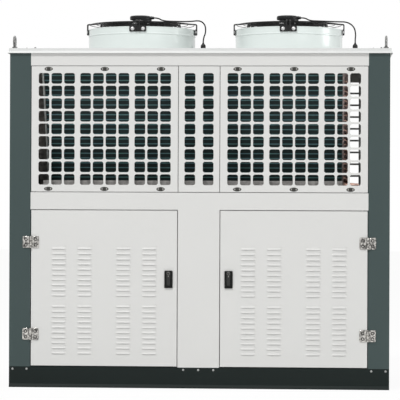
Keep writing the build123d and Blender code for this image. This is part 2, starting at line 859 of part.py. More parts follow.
with BuildPart() as return_bends:
    for side in (-1, 1):
        slope = Vector(0, side * sin(coil_lean), cos(coil_lean))
        start = Vector(coil_right + end_plate, side * (coil_low_y + coil_level / 2), coil_low)
        for number in range(bend_count):
            middle = start + slope * (bend_pitch * (number + 0.7))
            half_out, half_in = (bend_span + bend_bar) / 2, (bend_span - bend_bar) / 2
            facing = Vector(1, 0, 0).cross(slope)
            with BuildSketch(Plane(middle, x_dir=(1, 0, 0), z_dir=facing)):
                outline(
                    (0, -half_out), (bend_reach, -half_out), (bend_reach, half_out), (0, half_out),
                    (0, half_in), (bend_reach - bend_bar, half_in),
                    (bend_reach - bend_bar, -half_in), (0, -half_in),
                )
            extrude(amount=bend_bar / 2, both=True)
save(return_bends, "coil_return_bends")


# ---------------------------------------------------------------- machine compartment
barrel_z = deck_top + compressor_foot + barrel_radius
case_x, case_y, case_z = crankcase
with BuildPart() as compressor:
    with BuildSketch(Plane.YZ.offset(compressor_x - barrel_length)):
        with Locations((compressor_y, barrel_z)):
            RegularPolygon(barrel_radius, shell_sides, rotation=90 / 4)
    extrude(amount=barrel_length)
    with BuildSketch(Plane.YZ.offset(compressor_x)):
        with Locations((compressor_y, deck_top + compressor_foot + case_z / 2)):
            Rectangle(case_y, case_z)
    extrude(amount=case_x)
    with BuildSketch(Plane.XY.offset(deck_top + compressor_foot + case_z)):
        with GridLocations(case_x / 2, 1, 2, 1):
            with Locations((compressor_x + case_x / 2, compressor_y)):
                Rectangle(head[0], head[1])
    extrude(amount=head[2])
    with BuildSketch(Plane.XY.offset(deck_top)):
        for x in (compressor_x - barrel_length + foot_pad, compressor_x + case_x - foot_pad / 2):
            with Locations((x, compressor_y)):
                Rectangle(foot_pad, case_y)
    extrude(amount=compressor_foot + barrel_radius / 2)
    with BuildSketch(Plane.XY.offset(barrel_z + barrel_radius - boss_sunk)):
        with Locations((suction_entry_x, compressor_y)):
            RegularPolygon(boss_radius, 8)
    extrude(amount=boss_sunk + boss_rise)
save(compressor, "compressor")

receiver_z = deck_top + receiver_saddle + receiver_radius
with BuildPart() as receiver:
    half_length = receiver_length / 2
    for side in (-1, 1):
        start = Plane((receiver_x, receiver_y, receiver_z), x_dir=(0, side, 0), z_dir=(side, 0, 0))
        with BuildSketch(start) as shell:
            RegularPolygon(receiver_radius, shell_sides)
        extrude(shell.sketch, amount=half_length)
        with BuildSketch(start.offset(half_length)) as dome:
            RegularPolygon(receiver_radius, shell_sides)
        extrude(dome.sketch, amount=receiver_dome, taper=receiver_taper)
    for x in (receiver_x - half_length / 2, receiver_x + half_length / 2):
        with BuildSketch(Plane.YZ.offset(x - saddle_wall / 2)):
            bar(receiver_y - receiver_radius, deck_top,
                receiver_y + receiver_radius, receiver_z - receiver_radius / 2)
        extrude(amount=saddle_wall)
    with BuildSketch(Plane.XY.offset(receiver_z + receiver_radius - boss_sunk)):
        with Locations((stub_x, receiver_y), (drain_entry_x, receiver_y)):
            RegularPolygon(boss_radius, 8)
    extrude(amount=boss_sunk + boss_rise)
save(receiver, "liquid_receiver")

with BuildPart() as control_box_part:
    with Locations((control_box_x, control_box_y, control_box_low)):
        Box(*control_box, align=(Align.CENTER, Align.CENTER, Align.MIN))
save(control_box_part, "control_box")

with BuildPart() as control_box_stand:
    with BuildSketch(Plane.XY.offset(deck_top)):
        with Locations((control_box_x, control_box_y)):
            with GridLocations(stand_spacing, 1, 2, 1):
                Rectangle(stand_sheet, stand_depth)
    extrude(amount=control_box_low - deck_top)
save(control_box_stand, "control_box_stand")


def pipe(radius, *points):
    """A run of octagonal section with mitred corners, in the current part."""
    with BuildLine() as route:
        Polyline(*points)
    with BuildSketch(Plane(route.line @ 0, z_dir=route.line % 0)) as section:
        RegularPolygon(radius, 8)
    sweep(section.sketch, path=route.line, transition=Transition.RIGHT)


def stub(radius, z):
    """Round end of a line, outside the rear panel at the given height."""
    with BuildSketch(Plane.XZ.offset(-half_depth)) as section:
        with Locations((stub_x, z)):
            Circle(radius)
    extrude(section.sketch, amount=-stub_reach)


head_top = deck_top + compressor_foot + case_z + head[2]
discharge_entry_x = compressor_x + case_x * 3 / 4
with BuildPart() as discharge_line:
    pipe(
        discharge_radius,
        (discharge_entry_x, compressor_y, head_top), (discharge_entry_x, compressor_y, discharge_level),
        (discharge_entry_x, 0, discharge_level), (discharge_x, 0, discharge_level),
        (discharge_x, 0, coil_joint_z), (discharge_x, discharge_branch_y, coil_joint_z),
        (coil_right + end_plate, discharge_branch_y, coil_joint_z),
    )
    pipe(
        discharge_radius, (discharge_x, 0, coil_joint_z), (discharge_x, -discharge_branch_y, coil_joint_z),
        (coil_right + end_plate, -discharge_branch_y, coil_joint_z),
    )
save(discharge_line, "discharge_line")

entry_z = receiver_z + receiver_radius + boss_rise
with BuildPart() as drain_line:
    pipe(
        drain_radius,
        (coil_right + end_plate, -drain_branch_y, coil_joint_z), (drain_x, -drain_branch_y, coil_joint_z),
        (drain_x, drain_branch_y, coil_joint_z), (drain_x, drain_branch_y, drain_level),
        (drain_x, receiver_y, drain_level), (drain_entry_x, receiver_y, drain_level),
        (drain_entry_x, receiver_y, entry_z),
    )
    pipe(
        drain_radius, (drain_x, drain_branch_y, coil_joint_z),
        (coil_right + end_plate, drain_branch_y, coil_joint_z),
    )
save(drain_line, "drain_line")

with BuildPart() as liquid_line:
    pipe(
        liquid_radius,
        (stub_x, receiver_y, entry_z), (stub_x, receiver_y, liquid_z), (stub_x, half_depth, liquid_z),
    )
    stub(liquid_radius, liquid_z)
save(liquid_line, "liquid_line")

with BuildPart() as suction_line:
    pipe(
        suction_radius, (suction_entry_x, compressor_y, barrel_z + barrel_radius + boss_rise),
        (suction_entry_x, compressor_y, suction_z), (suction_entry_x, suction_run_y, suction_z),
        (stub_x, suction_run_y, suction_z), (stub_x, half_depth, suction_z),
    )
    stub(suction_radius, suction_z)
save(suction_line, "suction_line")


# ---------------------------------------------------------------- fasteners
with BuildPart() as panel_fasteners:
    for side in (-1, 1):
        for centre in (-grille_centre_x, grille_centre_x):
            for shift in (-oval_spacing, 0, oval_spacing):
                for z in (grille_low + oval_inset, grille_high - oval_inset):
                    with BuildSketch(Plane.XZ.offset(-side * half_depth)):
                        with Locations((centre + shift, z)):
                            oval = Rectangle(oval_width, oval_height)
                        chamfer(oval.vertices(), length=oval_corner)
                    extrude(amount=-side * oval_proud)
save(panel_fasteners, "panel_fasteners")

with BuildPart() as frame_screws:
    for side in (-1, 1):
        with BuildSketch(Plane.XZ.offset(-side * half_depth)):
            with Locations(*[(x, base_height - base_screw_drop) for x in base_screw_x]):
                RegularPolygon(screw_across / 2, 6, major_radius=False)
        extrude(amount=-side * screw_head)
    with BuildSketch(Plane.XY.offset(roof_top)):
        with GridLocations(2 * roof_screw_x, 2 * (half_depth + roof_overhang - roof_screw_inset), 2, 2):
            RegularPolygon(screw_across / 2, 6, major_radius=False)
    extrude(amount=screw_head)
save(frame_screws, "frame_screws")
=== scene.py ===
"""Looks of the box-type condensing unit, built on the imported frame."""

import json
from math import cos, pi, radians, sin

import bmesh
import bpy
from mathutils import Matrix, Vector


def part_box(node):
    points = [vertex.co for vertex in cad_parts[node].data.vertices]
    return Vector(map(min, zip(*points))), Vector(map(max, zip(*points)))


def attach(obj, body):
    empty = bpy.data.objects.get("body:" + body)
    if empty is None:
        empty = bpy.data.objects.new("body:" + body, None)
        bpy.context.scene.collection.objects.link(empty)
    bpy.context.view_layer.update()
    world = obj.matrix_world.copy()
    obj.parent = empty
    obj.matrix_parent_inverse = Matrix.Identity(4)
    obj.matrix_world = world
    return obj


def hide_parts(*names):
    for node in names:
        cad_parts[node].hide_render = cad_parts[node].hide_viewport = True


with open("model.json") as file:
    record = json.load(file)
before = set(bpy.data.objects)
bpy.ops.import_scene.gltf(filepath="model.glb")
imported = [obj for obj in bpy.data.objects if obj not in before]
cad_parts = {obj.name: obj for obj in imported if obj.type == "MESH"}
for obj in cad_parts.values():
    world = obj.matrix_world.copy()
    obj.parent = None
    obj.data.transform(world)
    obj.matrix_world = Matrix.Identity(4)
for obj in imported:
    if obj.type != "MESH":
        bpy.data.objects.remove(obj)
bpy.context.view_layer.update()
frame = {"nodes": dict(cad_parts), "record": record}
nodes = frame["nodes"]


# ---------------------------------------------------------------- materials
# Height, pitch and sharpness of the painted highlight lines along the coil's tube rows
tube_row_low = 1.057
tube_row_pitch = 0.02419
tube_row_sharpness = 13.0
white = (1, 1, 1, 1)


def node_material(name, color, roughness=0.5, metallic=0.0, coat=0.0, grain=0.0, grain_scale=400.0,
                  variation=0.0, variation_scale=3.0, gloss=0.5, contrast=1.0):
    """A procedural finish: its colour with slow variation, and a fine grain in the surface; on the hinges the
    variation is a painted mottled reflection.
    """
    material = bpy.data.materials.new(name)
    material.use_nodes = True
    tree = material.node_tree
    shader = tree.nodes["Principled BSDF"]
    shader.inputs["Roughness"].default_value = roughness
    shader.inputs["Metallic"].default_value = metallic
    shader.inputs["Coat Weight"].default_value = coat
    shader.inputs["Specular IOR Level"].default_value = gloss
    place = tree.nodes.new("ShaderNodeTexCoord")
    slow = tree.nodes.new("ShaderNodeTexNoise")
    slow.inputs["Scale"].default_value = variation_scale
    slow.inputs["Detail"].default_value = 3.0
    tree.links.new(place.outputs["Object"], slow.inputs["Vector"])
    mix = tree.nodes.new("ShaderNodeMix")
    mix.data_type = "RGBA"
    dark = [channel * (1 - variation) for channel in color]
    light = [min(1.0, channel * (1 + variation)) for channel in color]
    mix.inputs["A"].default_value = (*dark, 1)
    mix.inputs["B"].default_value = (*light, 1)
    spread = tree.nodes.new("ShaderNodeMapRange")
    spread.inputs["From Min"].default_value = 0.5 - 0.5 / contrast
    spread.inputs["From Max"].default_value = 0.5 + 0.5 / contrast
    tree.links.new(slow.outputs["Fac"], spread.inputs["Value"])
    tree.links.new(spread.outputs["Result"], mix.inputs["Factor"])
    tree.links.new(mix.outputs["Result"], shader.inputs["Base Color"])
    if grain:
        fine = tree.nodes.new("ShaderNodeTexNoise")
        fine.inputs["Scale"].default_value = grain_scale
        fine.inputs["Detail"].default_value = 2.0
        tree.links.new(place.outputs["Object"], fine.inputs["Vector"])
        bump = tree.nodes.new("ShaderNodeBump")
        bump.inputs["Strength"].default_value = grain
        bump.inputs["Distance"].default_value = 0.0004
        tree.links.new(fine.outputs["Fac"], bump.inputs["Height"])
        tree.links.new(bump.outputs["Normal"], shader.inputs["Normal"])
    return material


def fin_material(name):
    """Coated coil fins: dark, with a painted highlight line along every row of tubes, tinted in the fins'
    teal coating, and fine upright fins.
    """
    material = node_material(name, (0.017, 0.030, 0.030), 0.45, variation=0.35, variation_scale=9.0,
                             gloss=0.2)
    tree = material.node_tree
    shader = tree.nodes["Principled BSDF"]
    place = tree.nodes["Texture Coordinate"]
    mix = tree.nodes["Mix"]
    parts = tree.nodes.new("ShaderNodeSeparateXYZ")
    tree.links.new(place.outputs["Object"], parts.inputs[0])

    def calculate(operation, value, operand):
        """One step of arithmetic on a value of the surface."""
        step = tree.nodes.new("ShaderNodeMath")
        step.operation = operation
        tree.links.new(value, step.inputs[0])
        step.inputs[1].default_value = operand
        return step.outputs[0]

    # Painted highlight: a pale teal line along each row of tubes, partly the fins' coating colour, partly
    # standing in for light caught along the tubes
    shifted = calculate("ADD", parts.outputs["Z"], -tube_row_low)
    turns = calculate("MULTIPLY", shifted, 2 * pi / tube_row_pitch)
    wave = calculate("COSINE", turns, 0.0)
    lifted = calculate("MULTIPLY_ADD", wave, 0.5)
    lifted.node.inputs[2].default_value = 0.5
    tube_glint = calculate("POWER", lifted, tube_row_sharpness)
    hue = tree.nodes.new("ShaderNodeTexNoise")
    hue.inputs["Scale"].default_value = 14.0
    tree.links.new(place.outputs["Object"], hue.inputs["Vector"])
    glint_tint = tree.nodes.new("ShaderNodeMix")
    glint_tint.data_type = "RGBA"
    glint_tint.inputs["A"].default_value = (0.12, 0.30, 0.235, 1)
    glint_tint.inputs["B"].default_value = (0.16, 0.27, 0.36, 1)
    tree.links.new(hue.outputs["Fac"], glint_tint.inputs["Factor"])
    glinted_fins = tree.nodes.new("ShaderNodeMix")
    glinted_fins.data_type = "RGBA"
    tree.links.new(tube_glint, glinted_fins.inputs["Factor"])
    tree.links.new(mix.outputs["Result"], glinted_fins.inputs["A"])
    tree.links.new(glint_tint.outputs["Result"], glinted_fins.inputs["B"])
    tree.links.new(glinted_fins.outputs["Result"], shader.inputs["Base Color"])
    fins = tree.nodes.new("ShaderNodeTexWave")
    fins.bands_direction = "X"
    fins.inputs["Scale"].default_value = 75.0
    tree.links.new(place.outputs["Object"], fins.inputs["Vector"])
    bump = tree.nodes.new("ShaderNodeBump")
    bump.inputs["Strength"].default_value = 0.25
    bump.inputs["Distance"].default_value = 0.001
    tree.links.new(fins.outputs["Fac"], bump.inputs["Height"])
    tree.links.new(bump.outputs["Normal"], shader.inputs["Normal"])
    return material


# Colour, roughness and detail of each finish; the slots have finishes of their own names
looks = {
    "panel_paint": ((0.64, 0.64, 0.625), 0.42, dict(grain=0.25, variation=0.015)),
    "roof_paint": ((0.64, 0.65, 0.64), 0.4, dict(grain=0.2, variation=0.01)),
    "post_paint": ((0.042, 0.064, 0.063), 0.45, dict(grain=0.25, variation=0.06, gloss=0.3)),
    "base_paint": ((0.0075, 0.0125, 0.0115), 0.5, dict(grain=0.3, variation=0.12, gloss=0.16)),
    "galvanised": ((0.30, 0.29, 0.28), 0.5,
                   dict(metallic=0.5, variation=0.25, variation_scale=45.0, contrast=3.0)),
    # Lighter copy of the galvanised finish: painted light on the coil's left end strip
    "flange_painted_light": ((0.62, 0.65, 0.62), 0.45,
                    dict(metallic=0.2, variation=0.15, variation_scale=60.0, contrast=2.0)),
    "flange_brown": ((0.42, 0.33, 0.31), 0.5,
                     dict(metallic=0.2, variation=0.35, variation_scale=70.0, contrast=3.0)),
    # Darker copy of the end-plate finish: painted shade on the coil's left outward flange
    "flange_painted_shade": ((0.32, 0.30, 0.275), 0.6,
                    dict(variation=0.35, variation_scale=50.0, contrast=3.0, gloss=0.3)),
    "bright_steel": ((0.62, 0.62, 0.62), 0.3, dict(metallic=1.0, variation=0.05)),
    "clamp_grey": ((0.05, 0.049, 0.045), 0.35,
                   dict(metallic=0.4, variation=0.2, variation_scale=90.0, gloss=0.3)),
    # Painted reflection: the strong slow mottling of the hinge chrome stands in for dark and light things it
    # would mirror
    "hinge_chrome": ((0.38, 0.37, 0.35), 0.2,
                     dict(metallic=1.0, variation=0.8, variation_scale=120.0, contrast=2.8)),
    "lock_black": ((0.006, 0.0065, 0.006), 0.36, dict(grain=0.3, variation=0.1, gloss=0.15)),
    "lever_black": ((0.020, 0.021, 0.020), 0.3, dict(grain=0.3, variation=0.1, gloss=0.3)),
    # Painted shade: black rings round the hinge screws, standing in for the shade in their recesses
    "screw_recess_shade": ((0.012, 0.012, 0.012), 0.5, dict(variation=0.3, variation_scale=90.0, gloss=0.2)),
    "lobe_grey": ((0.30, 0.295, 0.28), 0.35, dict(metallic=0.6, variation=0.2, variation_scale=120.0)),
    "eye_steel": ((0.24, 0.24, 0.235), 0.3,
                  dict(metallic=0.9, variation=0.6, variation_scale=90.0, contrast=3.0)),
    "head_zinc": ((0.36, 0.37, 0.36), 0.45,
                  dict(metallic=0.3, variation=0.15, variation_scale=60.0, contrast=2.0)),
    "seal_rubber": ((0.02, 0.02, 0.02), 0.8, dict(grain=0.5, variation=0.1)),
    "ring_paint": ((0.71, 0.77, 0.75), 0.28, dict(coat=0.3, grain=0.2, variation=0.03)),
    "guard_black": ((0.012, 0.012, 0.012), 0.35, dict(grain=0.2, variation=0.1, gloss=0.3)),
    "motor_black": ((0.012, 0.013, 0.014), 0.42, dict(grain=0.5, variation=0.1, gloss=0.3)),
    "blade_black": ((0.012, 0.012, 0.013), 0.45, dict(grain=0.3, variation=0.1, gloss=0.3)),
    "cable_black": ((0.01, 0.01, 0.01), 0.45, dict(grain=0.3, variation=0.1, gloss=0.3)),
    "coil_copper": ((0.72, 0.47, 0.39), 0.3,
                    dict(metallic=0.85, variation=0.3, variation_scale=60.0, contrast=2.5)),
    "machine_paint": ((0.02, 0.022, 0.025), 0.35, dict(grain=0.4, variation=0.1, gloss=0.4)),
    "box_paint": ((0.5, 0.5, 0.48), 0.45, dict(grain=0.3, variation=0.02)),
}
finishes = {name: node_material(name, color, roughness, **detail)
            for name, (color, roughness, detail) in looks.items()}
finishes["coil_fins"] = fin_material("coil_fins")
slot_of = {part["node"]: part["material_slot"] for part in frame["record"]["subparts"]}


def finish_with(piece, slot):
    """Gives a mesh or curve one of the finishes, and nothing else."""
    piece.data.materials.clear()
    piece.data.materials.append(finishes[slot])


for name, node in nodes.items():
    finish_with(node, slot_of[name])


# ---------------------------------------------------------------- mesh helpers
def add_piece(name, form, slot, body, *replaced, finish=None, details=()):
    """Links a form as a piece, with its finishes, its body and the CAD nodes that it stands for."""
    if isinstance(form, bmesh.types.BMesh):
        mesh = bpy.data.meshes.new(name)
        form.to_mesh(mesh)
        form.free()
    else:
        mesh = form
    mesh.shade_smooth()
    mesh.set_sharp_from_angle(angle=radians(32))
    piece = bpy.data.objects.new(name, mesh)
    bpy.context.scene.collection.objects.link(piece)
    chosen = [face.material_index for face in mesh.polygons]
    finish_with(piece, finish or slot)
    for detail in details:
        mesh.materials.append(finishes[detail])
    mesh.polygons.foreach_set("material_index", chosen)
    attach(piece, body)
    if replaced:
        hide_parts(*replaced)
    return piece


def rounded_box(x0, z0, x1, z1, radius, steps=5):
    """Points of an upright rectangle with round corners, going round once."""
    points = []
    corners = ((x1 - radius, z1 - radius), (x0 + radius, z1 - radius), (x0 + radius, z0 + radius),
               (x1 - radius, z0 + radius))
    for number, (x, z) in enumerate(corners):
        for step in range(steps + 1):
            angle = pi / 2 * (number + step / steps)
            points.append((x + radius * cos(angle), z + radius * sin(angle)))
    return points


def sheet_metal(form, loops, y_front, thickness, edge=0.0004):
    """Adds an upright sheet with soft edges: the first loop is its outline, the others are its holes."""
    data = bpy.data.curves.new("loops", "CURVE")
    data.dimensions = "2D"
    data.fill_mode = "BOTH"
    data.extrude = thickness / 2 - edge
    data.bevel_depth = edge
    data.offset = -edge
    for loop in loops:
        spline = data.splines.new("POLY")
        spline.points.add(len(loop) - 1)
        for point, (x, z) in zip(spline.points, loop):
            point.co = (x, z, 0, 1)
        spline.use_cyclic_u = True
    holder = bpy.data.objects.new("loops", data)
    mesh = bpy.data.meshes.new_from_object(holder)
    mesh.transform(facing_front(0, y_front + thickness / 2, 0))
    form.from_mesh(mesh)
    bpy.data.meshes.remove(mesh)
    bpy.data.objects.remove(holder)


def lathe(form, profile, place, steps=64, closed=False, finish=0):
    """Adds a form turned about the local Z axis of place, from points (radius, height)."""
    rings = []
    for radius, height in profile:
        if radius < 1e-6:
            rings.append([form.verts.new(place @ Vector((0, 0, height)))])
        else:
            rings.append([
                form.verts.new(place @ Vector((radius * cos(angle), radius * sin(angle), height)))
                for angle in (2 * pi * i / steps for i in range(steps))
            ])
    pairs = list(zip(rings, rings[1:])) + ([(rings[-1], rings[0])] if closed else [])
    for lower, upper in pairs:
        for i in range(steps):
            j = (i + 1) % steps
            corners = [lower[i % len(lower)], lower[j % len(lower)],
                       upper[j % len(upper)], upper[i % len(upper)]]
            corners = list(dict.fromkeys(corners))
            if len(corners) > 2:
                form.faces.new(corners).material_index = finish


def at(x, y, z):
    """A place with its Z axis upright."""
    return Matrix.Translation((x, y, z))


def facing_front(x, y, z):
    """A place whose Z axis points out of the front."""
    return Matrix.Translation((x, y, z)) @ Matrix.Rotation(radians(90), 4, "X")


def rod(form, points, radius, bends=True):
    """Adds a round bar along its points, with its bends rounded."""
    data = bpy.data.curves.new("rod", "CURVE")
    data.dimensions = "3D"
    data.bevel_depth = radius
    data.bevel_resolution = 3
    data.use_fill_caps = True
    data.resolution_u = 6
    spline = data.splines.new("NURBS" if bends else "POLY")
    spline.points.add(len(points) - 1)
    for point, place in zip(spline.points, points):
        point.co = (*place, 1)
    if bends:
        spline.order_u = 3
        spline.use_endpoint_u = True
    holder = bpy.data.objects.new("rod", data)
    mesh = bpy.data.meshes.new_from_object(holder)
    form.from_mesh(mesh)
    bpy.data.meshes.remove(mesh)
    bpy.data.objects.remove(holder)


def wire_ring(form, centre, radius, wire, steps=96):
    """Adds a level ring of round wire."""
    section = [(radius + wire / 2 * cos(pi / 3 * i), wire / 2 * sin(pi / 3 * i)) for i in range(6)]
    lathe(form, section, at(*centre), steps, closed=True)


def block(form, low, high, soft=0.0):
    """Adds a box between two corners, with softened edges."""
    made = bmesh.ops.create_cube(form, size=1)["verts"]
    size = Vector(high) - Vector(low)
    for vert in made:
        vert.co = Vector(low) + Vector([size[i] * (vert.co[i] + 0.5) for i in range(3)])
    if soft:
        edges = list({edge for vert in made for edge in vert.link_edges})
        bmesh.ops.bevel(form, geom=edges, offset=soft, segments=2, affect="EDGES")


# ---------------------------------------------------------------- places and sizes, metres
roof_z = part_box("roof_panel")[1].z
fan_x = {side: sum(corner.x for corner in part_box(f"{side}_fan_ring")) / 2 for side in ("left", "right")}
body_front = -0.425
sheet = 0.0016

# Perforated panels
hole_size = 0.0535
hole_corner = 0.011
hole_pitch_x = 0.064
hole_pitch_z = 0.0632
hole_rows = 9
group_gap = 0.017
centre_pitch = 0.0915

# Louvres
louvre_columns = (-0.227, -0.097, 0.097, 0.227)
louvre_length = 0.074
louvre_hood = 0.015
louvre_reach = 0.005
louvre_pitch = 0.026
louvre_count = 10
louvre_groups = (0.170, 0.4595)

# Hinges
hinge_height = 0.060
hinge_plate = 0.005
hinge_screw_shift = 0.014

# Fan guards
ring_wall = 0.004
bar = 0.0065
bar_spacing = 0.017
arm_root = 0.036
level_end = 0.040
arm_knee = 0.205
knee_drop = 0.009
end_drop = 0.007
foot_radius = 0.2773
foot_plate = 0.003
wire = 0.0034
wire_bite = 0.0006
basket_shift = -0.008
basket_inner = 0.060
basket_outer = 0.206
basket_rings = 14
basket_spokes = 32
outer_rings = (0.236, 0.270)
motor_cap_shift = -0.009

# Coils
coil_lean = 0.290
bend_radius = 0.013

# Camera
camera_place = (0.582, -11.225, 0.9335)
camera_target = (0.006, -0.425, 0.9405)
camera_roll = 0.22


# ---------------------------------------------------------------- camera, light and floor
def aim(camera, place, target, roll):
    """Turns the camera from its place to the target, rolled clockwise in the picture."""
    view = (Vector(target) - Vector(place)).to_track_quat("-Z", "Y").to_matrix()
    camera.rotation_euler = (view @ Matrix.Rotation(radians(roll), 3, "Z")).to_euler()
    camera.location = place


camera_data = bpy.data.cameras.new("camera")
camera = bpy.data.objects.new("camera", camera_data)
bpy.context.scene.collection.objects.link(camera)
bpy.context.scene.camera = camera
camera_data.lens = 195.1
camera_data.sensor_width = 36
camera_data.clip_end = 60
aim(camera, camera_place, camera_target, camera_roll)


def area_light(name, place, target, size, power):
    """A soft square light, aimed at a point."""
    data = bpy.data.lights.new(name, "AREA")
    data.shape = "SQUARE"
    data.size = size
    data.energy = power
    light = bpy.data.objects.new(name, data)
    bpy.context.scene.collection.objects.link(light)
    light.location = place
    light.rotation_euler = (Vector(target) - Vector(place)).to_track_quat("-Z", "Y").to_euler()


area_light("key", (-3.0, -9.2, 12.0), (0, -0.3, 0.7), 2.2, 1120)
area_light("fill", (5.0, -8.5, 2.0), (0, 0, 0.9), 4.0, 50)
area_light("top", (0.0, 1.0, 6.5), (0, 0, 1.0), 4.0, 60)
area_light("right_light", (5.5, -0.3, 2.2), (0, -0.1, 1.75), 1.6, 60)

world = bpy.data.worlds.new("world")
bpy.context.scene.world = world
world.use_nodes = True
world_tree = world.node_tree
soft_sky = world_tree.nodes["Background"]
soft_sky.inputs["Color"].default_value = white
soft_sky.inputs["Strength"].default_value = 0.5
seen_sky = world_tree.nodes.new("ShaderNodeBackground")
seen_sky.inputs["Color"].default_value = white
seen_sky.inputs["Strength"].default_value = 1.0
ray = world_tree.nodes.new("ShaderNodeLightPath")
either = world_tree.nodes.new("ShaderNodeMath")
either.operation = "MAXIMUM"
any_seen = world_tree.nodes.new("ShaderNodeMath")
any_seen.operation = "MAXIMUM"
world_tree.links.new(ray.outputs["Is Camera Ray"], either.inputs[0])
world_tree.links.new(ray.outputs["Is Glossy Ray"], either.inputs[1])
world_tree.links.new(either.outputs[0], any_seen.inputs[0])
world_tree.links.new(ray.outputs["Is Transmission Ray"], any_seen.inputs[1])
blend_sky = world_tree.nodes.new("ShaderNodeMixShader")
world_tree.links.new(any_seen.outputs[0], blend_sky.inputs["Fac"])
world_tree.links.new(soft_sky.outputs[0], blend_sky.inputs[1])
world_tree.links.new(seen_sky.outputs[0], blend_sky.inputs[2])
world_tree.links.new(blend_sky.outputs[0], world_tree.nodes["World Output"].inputs["Surface"])
bpy.context.scene.view_settings.view_transform = "Standard"

floor_mesh = bpy.data.meshes.new("floor")
floor_half = 30
floor_mesh.from_pydata([(x * floor_half, y * floor_half, 0) for x, y in ((-1, -1), (1, -1), (1, 1), (-1, 1))],
                       [], [(0, 1, 2, 3)])
floor = bpy.data.objects.new("floor", floor_mesh)
bpy.context.scene.collection.objects.link(floor)
floor_paint = node_material("floor_paint", (0.9, 0.9, 0.9), 0.7, variation=0.01)
floor_tree = floor_paint.node_tree
pale = floor_tree.nodes.new("ShaderNodeEmission")
pale.inputs["Color"].default_value = white
floor_ray = floor_tree.nodes.new("ShaderNodeLightPath")
share = floor_tree.nodes.new("ShaderNodeMath")
share.operation = "MULTIPLY"
share.inputs[1].default_value = 0.92
floor_tree.links.new(floor_ray.outputs["Is Camera Ray"], share.inputs[0])
floor_mix = floor_tree.nodes.new("ShaderNodeMixShader")
floor_tree.links.new(share.outputs[0], floor_mix.inputs["Fac"])
floor_tree.links.new(floor_tree.nodes["Principled BSDF"].outputs[0], floor_mix.inputs[1])
floor_tree.links.new(pale.outputs[0], floor_mix.inputs[2])
floor_tree.links.new(floor_mix.outputs[0], floor_tree.nodes["Material Output"].inputs["Surface"])
floor_mesh.materials.append(floor_paint)


# ---------------------------------------------------------------- cables
cable_diameter = 0.007
cable_routes = {
    "left": (
        (0.063, 0.1868), (0.083, 0.1868), (0.107, 0.172), (0.158, 0.169), (0.246, 0.1675), (0.302, 0.1745),
        (0.329, 0.150), (0.331, 0.110), (0.318, 0.080), (0.318, 0.057),
    ),
    "right": (
        (0.063, 0.1868), (0.083, 0.1868), (0.107, 0.172), (0.158, 0.1705), (0.246, 0.1665), (0.302, 0.166),
        (0.337, 0.140), (0.345, 0.102), (0.342, 0.077), (0.342, 0.057),
    ),
}


def fan_cable(side):
    """The motor's cable, from its outlet along an arm and over the ring to the gland in the roof."""
    data = bpy.data.curves.new(f"{side}_motor_cable", "CURVE")
    data.dimensions = "3D"
    data.bevel_depth = cable_diameter / 2
    data.bevel_resolution = 4
    data.resolution_u = 12
    spline = data.splines.new("NURBS")
    points = [Vector((fan_x[side] + reach, 0, roof_z + rise)) for reach, rise in cable_routes[side]]
    spline.points.add(len(points) - 1)
    for point, place in zip(spline.points, points):
        point.co = (*place, 1)
    spline.order_u = 3
    spline.use_endpoint_u = True
    cable = bpy.data.objects.new(f"{side}_motor_cable", data)
    bpy.context.scene.collection.objects.link(cable)
    finish_with(cable, "cable_black")
    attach(cable, "cabinet")
    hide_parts(f"{side}_fan_cable")


for side in fan_x:
    fan_cable(side)


# ---------------------------------------------------------------- perforated panels
def hole_columns(groups, pitch):
    """Distances of the hole columns from the panel's middle, with a wider web between groups."""
    places, x = [], 0.0
    for count in groups:
        for _ in range(count):
            places.append(x)
            x += pitch
        x += group_gap
    middle = (places[0] + places[-1]) / 2
    return [place - middle for place in places]


def front_grille(node, groups, pitch):
    """Powder-coated front panel with its round-cornered square holes and folded edges."""
    low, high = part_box(node)
    middle = (low + high) / 2
    half = hole_size / 2
    loops = [rounded_box(low.x, low.z, high.x, high.z, 0.0015, 2)]
    for column in hole_columns(groups, pitch):
        for row in range(hole_rows):
            x, z = middle.x + column, middle.z + (row - (hole_rows - 1) / 2) * hole_pitch_z
            loops.append(rounded_box(x - half, z - half, x + half, z + half, hole_corner))
    form = bmesh.new()
    sheet_metal(form, loops, low.y, sheet, 0.0007)
    inner = rounded_box(low.x + sheet, low.z + sheet, high.x - sheet, high.z - sheet, 0.0008, 2)
    sheet_metal(form, [rounded_box(low.x, low.z, high.x, high.z, 0.0015, 2), inner], low.y + sheet,
                high.y - low.y - sheet)
    add_piece(f"{node}_sheet", form, "panel_paint", "cabinet", node)


front_grille("front_left_grille", (3, 4, 3), hole_pitch_x)
front_grille("front_right_grille", (3, 4, 3), hole_pitch_x)
front_grille("front_centre_grille", (2,), centre_pitch)


# ---------------------------------------------------------------- doors
def louvre(form, x, z, y_front):
    """Adds one pressed louvre: a hood that swells out of the sheet down to an open lower lip."""
    across, down = 14, 6
    rows = []
    for layer in (0.0, 0.0011):
        grid = []
        for i in range(across + 1):
            u = 2 * i / across - 1
            swell = max(0.0, 1 - abs(u) ** 8) ** 0.5
            column = []
            for j in range(down + 1):
                v = j / down
                reach = louvre_reach * swell * v ** 3.4
                column.append(form.verts.new((
                    x + u * louvre_length / 2, y_front - reach + layer, z + louvre_hood * (1 - v),
                )))
            grid.append(column)
        rows.append(grid)
    outer, inner = rows
    for i in range(across):
        for j in range(down):
            form.faces.new((outer[i][j], outer[i][j + 1], outer[i + 1][j + 1], outer[i + 1][j]))
            form.faces.new((inner[i][j], inner[i + 1][j], inner[i + 1][j + 1], inner[i][j + 1]))
        form.faces.new((outer[i][down], inner[i][down], inner[i + 1][down], outer[i + 1][down]))


